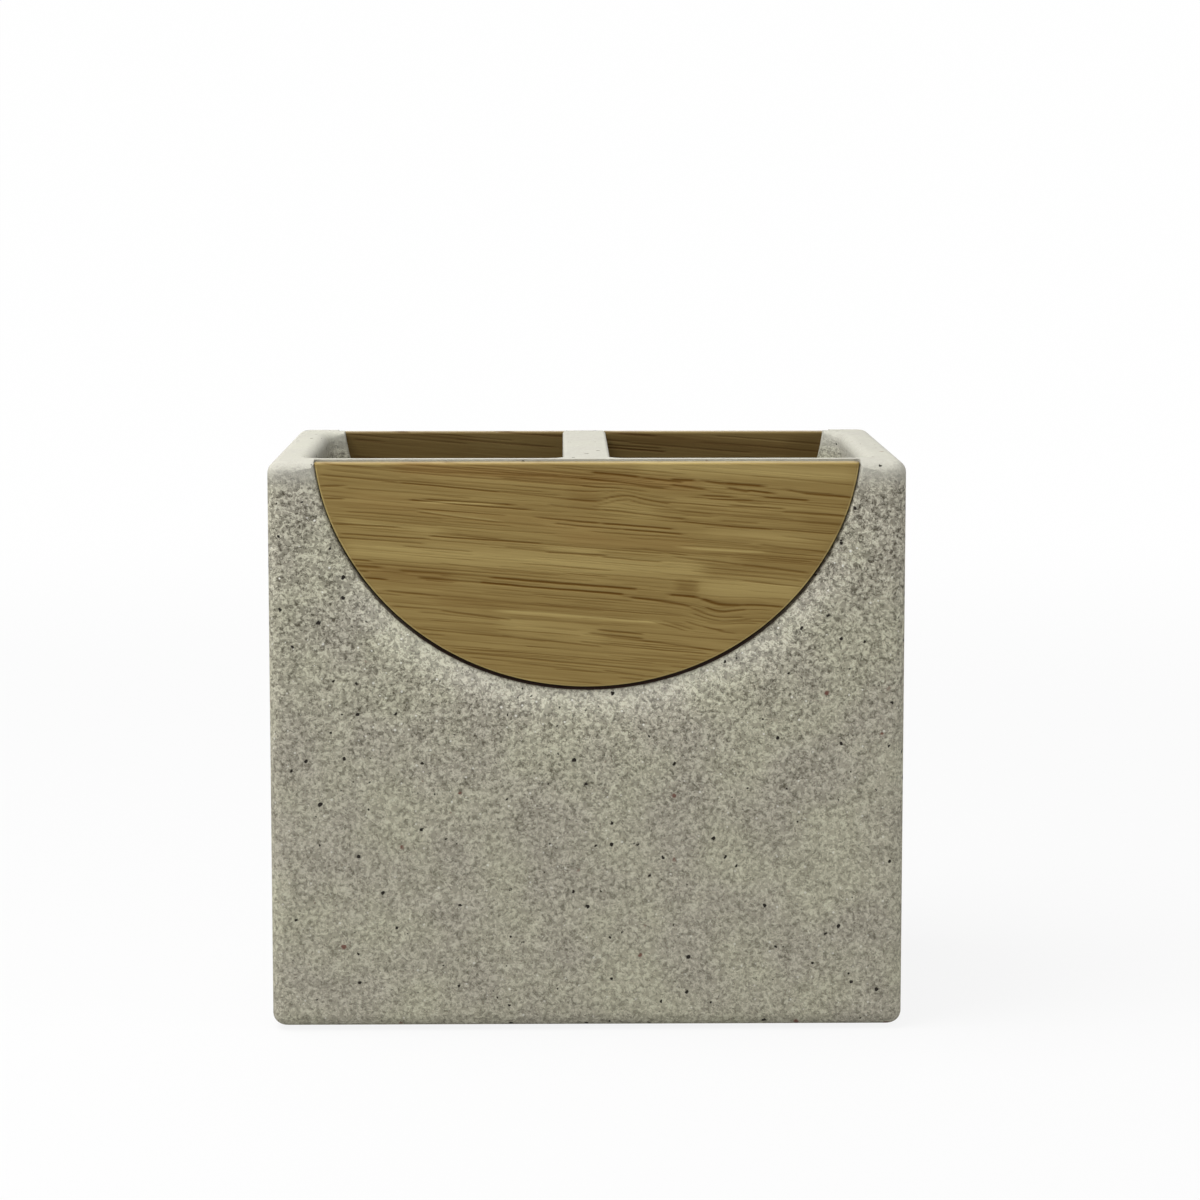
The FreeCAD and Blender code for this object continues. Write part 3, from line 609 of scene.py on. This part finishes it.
def foam_finish(looks):
    """Closed-cell foam: dark, matt, with fine cells that show as paler walls."""
    finish = Finish("foot_foam", 0.95)
    near = finish.add("TexVoronoi", {}, {"Vector": finish.place(), "Scale": 3.2}, "Distance")
    wall = near.rise(0.25, 0.6)
    finish.feed("Base Color", finish.mix(wall, looks.foam, paler(looks.foam, 2.0)))
    finish.bump(wall * 0.06)
    return finish


def make_piece(name, points, faces, values=None):
    """A mesh object at the origin, in metres, with its values per point as attributes."""
    mesh = bpy.data.meshes.new(name)
    mesh.from_pydata(points.tolist(), [], faces)
    for title, numbers in (values or {}).items():
        layer = mesh.attributes.new(title, "FLOAT", "POINT")
        layer.data.foreach_set("value", numbers.astype(np.float32))
    mesh.update()
    mesh.shade_smooth()
    piece = bpy.data.objects.new(name, mesh)
    bpy.context.scene.collection.objects.link(piece)
    return piece


def soft_step(value):
    """3 v squared less 2 v cubed, on v held between 0 and 1."""
    held = np.clip(value, 0, 1)
    return held * held * (3 - 2 * held)


def across_line(x, z, line):
    """How far each point lies above a line, and where along it, from 0 to 1.

    The line wanders off its straight run by a sine 0.05 mm high and 27 mm long and one 0.015 mm
    high and 7 mm long, each moved along by an amount that depends on where the line starts.
    """
    start_x, start_z, end_x, end_z = line
    along = (x - start_x) / (end_x - start_x)
    wander = 0.05 * np.sin(x * 0.23 + start_z * 5.0) + 0.015 * np.sin(x * 0.93 + start_x * 3.0)
    return z - (start_z + (end_z - start_z) * along) - wander, along


def faded_ends(along, line, soft):
    """1 along a line and 0 past its ends, with a soft step over the length soft at each end."""
    length = line[2] - line[0]
    return soft_step(along * length / soft + 0.5) * soft_step((1 - along) * length / soft + 0.5)


def bell(off, width):
    """e to the minus square of the distance over the width."""
    return np.exp(-((off / width) ** 2))


def streak_depth(x, z, streaks):
    """The vessel streaks: darkness times a bell across the line times the fade of its ends. The
    darkest wins, and a fainter painted highlight below each streak is taken off where none is
    dark."""
    deepest = np.zeros_like(x)
    highlight_line = np.zeros_like(x)
    for *line, width, darkness in streaks:
        off, along = across_line(x, z, line)
        dark = darkness * faded_ends(along, line, STREAK_FADE)
        deepest = np.maximum(deepest, dark * bell(off, STREAK_BELL * width))
        # A painted highlight just below each streak.
        below = bell(off + HIGHLIGHT_BELOW * width, STREAK_BELL * width)
        highlight_line = np.maximum(highlight_line, dark * below)
    return deepest - HIGHLIGHT_SHARE * highlight_line * (1 - deepest)


def band_tone(x, z, bands):
    """The broad bands: lightness and redness, each times a bell across the band and the fade of
    its ends, added up. A band shorter than two fades fades over half its length."""
    light = np.zeros_like(x)
    red = np.zeros_like(x)
    for *line, width, lightness, redness in bands:
        off, along = across_line(x, z, line)
        soft = min(BAND_FADE, 0.5 * (line[2] - line[0]))
        strength = bell(off, width) * faded_ends(along, line, soft)
        light += lightness * strength
        red += redness * strength
    return light, red


def lines_read(readings):
    """Lines read in the photograph, placed on the front in millimetres: x is how far a column
    lies right of the middle one, and z how far a row lies below the rim's, taken off the rim's
    height, each over the pixels in a millimetre. A line's further values stay."""
    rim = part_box("stone_body")[1][2] / MM

    def place(column, row):
        """The x and z of one end."""
        return (column - MIDDLE_COLUMN) / PIXELS_ACROSS, rim - (row - RIM_ROW) / PIXELS_DOWN

    return [(*place(*line[:2]), *place(*line[2:4]), *line[4:]) for line in readings]


def scattered_lines(kind, half, low, high, slope):
    """Lines drawn at random on a half-disc of that half width, between those two heights.

    Start, length and level are each drawn evenly between their bounds, and a line ends lower
    than it starts by its length times the slope's tangent.
    """
    seed, count, latest, lengths, above, *spans = kind
    draw = np.random.default_rng(seed)
    start = draw.uniform(-half, half * latest, count)
    length = draw.uniform(*lengths, count)
    level = draw.uniform(low, high + above, count)
    values = [draw.uniform(*span, count) for span in spans]
    return list(zip(start, level, start + length, level - length * math.tan(slope), *values))


def swerve_of(x, z, swerves):
    """How far the fibres lie above their straight run: for each swerve its rise times e to the
    minus (x off its middle / half width) squared less (z off its middle / half height) squared."""
    total = np.zeros_like(x)
    for middle_x, middle_z, half_width, half_height, rise in swerves:
        off = ((x - middle_x) / half_width) ** 2 + ((z - middle_z) / half_height) ** 2
        total += rise * np.exp(-off)
    return total


def half_disc_shape(node, looks, face, back):
    """A half-disc between its face and its back: its points in millimetres, its faces, and the
    grid of point numbers of the face. The back's grid follows it, then the loops round the edge.

    The outline is the part of an ellipse below its top edge. Row t lies 0.8 t + 0.2 sin(90
    degrees t) of the way down. Its half width is the ellipse's, a sqrt(1 - (drop / b) squared)
    at a drop below the middle, so column u, from -1 to 1, lies at u times that. The last row
    lies on the ellipse itself. Each loop round the edge is the same outline drawn in by its
    inset, and the insets and depths follow a quarter circle at the face's edge and at the
    back's. Towards the top the outline swells sideways by up to the swell, so that the gap
    round it closes there.
    """
    low, high = (corner / MM for corner in map(np.array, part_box(node)))
    half_height = looks.half_height / MM
    half_width, centre = (size / MM for size in disc_outline(node, looks.half_height))
    t = np.linspace(0, 1, looks.rows + 1)[:-1]
    fall = 0.8 * t + 0.2 * np.sin(0.5 * math.pi * t)
    u = np.linspace(-1, 1, looks.columns)

    def drawn_in(inset):
        """The outline's grid of x and z, drawn in by the inset."""
        wide, tall = half_width - inset, half_height - inset
        top = high[2] - inset
        z = top - (top - low[2] - inset) * fall
        x = (np.sqrt(1 - ((centre - z) / tall) ** 2) * wide)[:, None] * u
        z = np.repeat(z[:, None], len(u), 1)
        z[-1] = centre - tall * np.sqrt(1 - (x[-1] / wide) ** 2)
        upper = soft_step((z - centre + SWELL_FROM * half_height) / (SWELL_OVER * half_height))
        return x * (1 + looks.swell / MM * upper / half_width), z

    radius = looks.edge_break / MM
    index = np.arange(len(t) * len(u)).reshape(len(t), len(u))
    rim = np.concatenate([index[:, 0], index[-1, 1:], index[-2::-1, -1], index[0, -2:0:-1]])
    turn = np.linspace(0, 0.5 * math.pi, EDGE_STEPS + 1)[1:]
    rounded = math.copysign(radius, back - face) * (1 - np.cos(turn))
    insets = radius * (1 - np.sin(turn))
    layers = [(radius, face, index.ravel()), (radius, back, index.ravel())]
    layers += [(inset, depth, rim) for inset, depth in zip(insets, face + rounded)]
    layers += [(inset, depth, rim) for inset, depth in zip(insets[::-1], (back - rounded)[::-1])]
    parts = []
    for inset, depth, kept in layers:
        x, z = drawn_in(inset)
        parts.append([x.ravel()[kept], np.full(len(kept), depth), z.ravel()[kept]])

    loops = 2 * index.size + np.arange(2 * EDGE_STEPS * len(rim)).reshape(-1, len(rim))
    loops = [rim, *loops, index.size + rim]
    grid = np.stack([index[:-1, :-1], index[1:, :-1], index[1:, 1:], index[:-1, 1:]], -1)
    grid = grid.reshape(-1, 4)
    faces = [grid, index.size + grid[:, ::-1]]
    for outer, inner in zip(loops[:-1], loops[1:]):
        faces.append(np.stack([outer, inner, np.roll(inner, -1), np.roll(outer, -1)], -1))
    return np.concatenate(parts, 1), np.concatenate(faces), index


def half_disc(node, name, looks, streaks, bands, swerves, mirrored):
    """A half-disc with sanded edges in place of its CAD node. Its face looks forwards on the
    front one, and backwards on the rear one, which is mirrored.

    The streaks run through from one face to the other, and each face is cut in along them by
    the streak's depth times the groove. The sanded edge gets a painted highlight, weaker at the
    top edge. The rear one gets painted shade from its face to its back, which stands in the wells.
    """
    low, high = (corner / MM for corner in map(np.array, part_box(node)))
    face, back = (high[1], low[1]) if mirrored else (low[1], high[1])
    (x, y, z), faces, index = half_disc_shape(node, looks, face, back)

    swerve = swerve_of(x, z, swerves)
    streak = streak_depth(x, z - swerve, streaks)
    light, red = band_tone(x, z - swerve, bands)
    edge = slice(2 * index.size, None)
    # A painted highlight on the sanded edge, weaker within TOP_EDGE of the top, added to the
    # bands.
    light[edge] += np.where(z[edge] < high[2] - TOP_EDGE, looks.edge_highlight, TOP_EDGE_HIGHLIGHT)
    inside = index[1:-1, 1:-1].ravel()
    inward = np.zeros(len(x))
    inward[inside] = np.sign(back - face)
    inward[index.size + inside] = np.sign(face - back)
    y = y + inward * looks.groove / MM * np.clip(streak, 0, 1)
    # Painted shade on the rear half-disc, from none on its face to full on its back in the wells.
    well_shade = np.clip((y - face) / (back - face), 0, 1) if mirrored else np.zeros(len(x))

    if mirrored:
        faces = faces[:, ::-1]
    values = dict(zip(BAMBOO_VALUES, (streak, light, red, well_shade, swerve)))
    piece = make_piece(name, np.stack([x, y, z], -1) * MM, faces.tolist(), values)
    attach(piece, BODY)
    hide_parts(node)
    return piece


def foam_pad(node, looks):
    """A foam pad in place of its CAD node: a profile turned about the pad's own axis.

    The profile runs from the middle of the sole out to the edge, up the side, and in over the
    top. At the share h of the height, with p = 1 - 4 h (1 - h), the radius is R less b times
    p + p squared, so the side is fullest halfway up and draws in by 2 b at the sole and the top.
    """
    low, high = (np.array(corner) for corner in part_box(node))
    middle = 0.5 * (low + high)
    radius = 0.5 * (high[0] - low[0])
    side = np.linspace(0, 1, PAD_STEPS)
    pinch = 1 - 4 * side * (1 - side)
    flat = radius * np.array(PAD_RINGS)
    profile_r = np.concatenate([flat, radius - looks.bulge * (pinch + pinch ** 2), flat[::-1]])
    profile_z = np.concatenate([[low[2]] * 2, low[2] + (high[2] - low[2]) * side, [high[2]] * 2])
    turn = np.linspace(0, 2 * math.pi, PAD_POINTS, endpoint=False)
    ring_x = middle[0] + profile_r[:, None] * np.cos(turn)
    ring_y = middle[1] + profile_r[:, None] * np.sin(turn)
    ring_z = np.repeat(profile_z[:, None], len(turn), 1)
    points = np.stack([ring_x, ring_y, ring_z], -1).reshape(-1, 3)
    index = np.arange(len(points)).reshape(ring_x.shape)
    after = np.roll(index, -1, 1)
    faces = np.stack([index[:-1], after[:-1], after[1:], index[1:]], -1).reshape(-1, 4).tolist()
    faces += [index[0][::-1].tolist(), index[-1].tolist()]
    piece = make_piece(node + "_foam", points, faces)
    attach(piece, BODY)
    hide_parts(node)
    return piece


class HOLDER_OT_stone_body(bpy.types.Operator):
    """Dresses the cast body in stone resin"""
    bl_idname = "holder.stone_body"
    bl_label = "Stone body"

    def execute(self, context):
        half_height = context.scene.holder_bamboo.half_height
        finish = stone_finish(context.scene.holder_stone, half_height)
        dress(frame["nodes"]["stone_body"], finish)
        return {"FINISHED"}


class HOLDER_OT_bamboo_half_discs(bpy.types.Operator):
    """Makes the front and the rear bamboo half-disc"""
    bl_idname = "holder.bamboo_half_discs"
    bl_label = "Bamboo half-discs"

    def execute(self, context):
        looks = context.scene.holder_bamboo
        low, high = (np.array(corner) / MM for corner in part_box("rear_inlay"))
        fine, rear_streaks, rear_bands = (
            scattered_lines(kind, high[0], low[2], high[2], looks.slope)
            for kind in (FINE_STREAKS, REAR_STREAKS, REAR_BANDS))
        streaks = [(*line, width / PIXELS_ACROSS, darkness)
                   for *line, width, darkness in lines_read(STREAK_READINGS)]
        front = half_disc("front_inlay", "bamboo_front", looks, streaks + fine,
                          lines_read(BAND_READINGS), FRONT_SWERVES, False)
        rear = half_disc("rear_inlay", "bamboo_rear", looks, rear_streaks, rear_bands,
                         REAR_SWERVES, True)
        finish = bamboo_finish(looks)
        dress(front, finish)
        dress(rear, finish)
        return {"FINISHED"}


class HOLDER_OT_adhesive(bpy.types.Operator):
    """Dresses the adhesive behind both half-discs"""
    bl_idname = "holder.adhesive"
    bl_label = "Adhesive"

    def execute(self, context):
        finish = adhesive_finish(context.scene.holder_small_parts)
        for name in ("front_adhesive", "rear_adhesive"):
            dress(frame["nodes"][name], finish)
        return {"FINISHED"}


class HOLDER_OT_foot_pads(bpy.types.Operator):
    """Makes the four foam pads underneath"""
    bl_idname = "holder.foot_pads"
    bl_label = "Foot pads"

    def execute(self, context):
        looks = context.scene.holder_small_parts
        finish = foam_finish(looks)
        for name in PAD_NODES:
            dress(foam_pad(name, looks), finish)
        return {"FINISHED"}


def swept_floor(reach, bend):
    """A floor that sweeps up behind the part into a wall.

    Its profile runs back along the floor to reach, round a quarter circle of radius bend, and
    up to the height reach.
    """
    turn = np.linspace(0, 0.5 * math.pi, BEND_STEPS)
    y = np.concatenate([[-reach], reach + bend * np.sin(turn), [reach + bend]])
    z = np.concatenate([[0], bend * (1 - np.cos(turn)), [reach]])
    x = np.array([-2 * reach, 2 * reach])
    points = np.stack([np.tile(x, len(y)), np.repeat(y, 2), np.repeat(z, 2)], -1)
    index = np.arange(len(points)).reshape(-1, 2)
    faces = np.stack([index[:-1, 0], index[:-1, 1], index[1:, 1], index[1:, 0]], -1)
    return make_piece("floor", points, faces.tolist())


def floor_finish(looks):
    """A pale, matt floor that the camera and reflections see mixed with white, all the more so
    far from the part, so that it keeps the part's shadow and fades into the white surround."""
    finish = Finish("pale_floor", 0.9)
    finish.feed("Base Color", looks.floor)
    seen = finish.add("LightPath", {}, {}, "Is Camera Ray")
    far = finish.add("VectorMath", {"operation": "LENGTH"}, {0: finish.place()}, "Value")
    near_share, far_share = FLOOR_WHITE
    share = near_share + far.rise(*FLOOR_FADE) * (far_share - near_share)
    white = (seen + seen.output("Is Glossy Ray")).held() * share
    plain = Shade(finish, finish.shader.outputs[0])
    glow = finish.add("Emission", {}, {"Color": (1, 1, 1), "Strength": 1.0})
    blend = finish.add("MixShader", {}, {0: white, 1: plain, 2: glow})
    finish.put(finish.tree.nodes["Material Output"].inputs["Surface"], blend)
    return finish


def white_surround(strength):
    """A world that the camera sees as white, and that lights the part with that strength."""
    world = bpy.data.worlds.new("white_surround")
    world.use_nodes = True
    nodes = Nodes(world.node_tree)
    sky = world.node_tree.nodes["Background"]
    seen = nodes.add("LightPath", {}, {}, "Is Camera Ray")
    nodes.put(sky.inputs["Color"], (1, 1, 1))
    light = nodes.add("MapRange", {}, {"Value": seen, "To Min": strength})
    nodes.put(sky.inputs["Strength"], light)
    return world


def soft_lamp(name, place, size, power):
    """A square soft lamp that faces the middle of the part."""
    lamp = bpy.data.lights.new(name, "AREA")
    lamp.shape = "SQUARE"
    lamp.size = size
    lamp.energy = power
    holder = bpy.data.objects.new(name, lamp)
    holder.location = place
    holder.rotation_euler = (Vector(LAMP_AIM) - Vector(place)).to_track_quat("-Z", "Y").to_euler()
    bpy.context.scene.collection.objects.link(holder)


def photo_camera(looks):
    """A camera without roll that looks down by the pitch and to the right by the yaw.

    Ahead is (sin yaw cos pitch, cos yaw cos pitch, - sin pitch), right is (cos yaw, - sin yaw,
    0), and upward is square to both.
    """
    ahead = Vector((math.sin(looks.yaw) * math.cos(looks.pitch),
                    math.cos(looks.yaw) * math.cos(looks.pitch), -math.sin(looks.pitch)))
    right = Vector((math.cos(looks.yaw), -math.sin(looks.yaw), 0))
    lens = bpy.data.cameras.new("photo_view")
    lens.lens = looks.lens
    lens.sensor_width = SENSOR_WIDTH
    lens.shift_y = looks.shift
    camera = bpy.data.objects.new("photo_view", lens)
    camera.matrix_world = Matrix((right, right.cross(ahead), -ahead)).transposed().to_4x4()
    camera.location = looks.camera_place
    bpy.context.scene.collection.objects.link(camera)
    return camera


class HOLDER_OT_stage(bpy.types.Operator):
    """Sets up the pale swept floor, the soft light and the camera"""
    bl_idname = "holder.stage"
    bl_label = "Floor, light and camera"

    def execute(self, context):
        scene = context.scene
        looks = scene.holder_stage
        floor = swept_floor(FLOOR_REACH, FLOOR_BEND)
        dress(floor, floor_finish(looks))
        scene.world = white_surround(looks.sky)
        for name, place, size, setting, share in LAMPS:
            soft_lamp(name, place, size, share * getattr(looks, setting))
        scene.camera = photo_camera(looks)
        scene.view_settings.view_transform = "Standard"
        return {"FINISHED"}


STEPS = (HOLDER_OT_stone_body, HOLDER_OT_bamboo_half_discs, HOLDER_OT_adhesive,
         HOLDER_OT_foot_pads, HOLDER_OT_stage)
GROUPS = {"holder_stone": StoneLooks, "holder_bamboo": BambooLooks,
          "holder_small_parts": SmallPartLooks, "holder_stage": StageLooks}


class HOLDER_PT_looks(bpy.types.Panel):
    """Lists the steps that dress the holder, and their sizes and colours"""
    bl_idname = "HOLDER_PT_looks"
    bl_label = "Holder looks"
    bl_space_type = "VIEW_3D"
    bl_region_type = "UI"
    bl_category = "Holder"

    def draw(self, context):
        for step in STEPS:
            self.layout.operator(step.bl_idname)
        for name, group in GROUPS.items():
            box = self.layout.box()
            box.label(text=group.__doc__)
            for prop in group.__annotations__:
                box.prop(getattr(context.scene, name), prop)


def register():
    """Adds the groups, the steps and the panel to Blender."""
    for kind in (*GROUPS.values(), *STEPS, HOLDER_PT_looks):
        bpy.utils.register_class(kind)
    for name, group in GROUPS.items():
        setattr(bpy.types.Scene, name, PointerProperty(type=group))


def unregister():
    """Takes them out again."""
    for name in GROUPS:
        delattr(bpy.types.Scene, name)
    for kind in (HOLDER_PT_looks, *STEPS, *GROUPS.values()):
        bpy.utils.unregister_class(kind)


def main():
    """Dresses the holder step by step."""
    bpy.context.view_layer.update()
    register()
    bpy.ops.holder.stone_body()
    bpy.ops.holder.bamboo_half_discs()
    bpy.ops.holder.adhesive()
    bpy.ops.holder.foot_pads()
    bpy.ops.holder.stage()


if __name__ == "__main__":
    main()
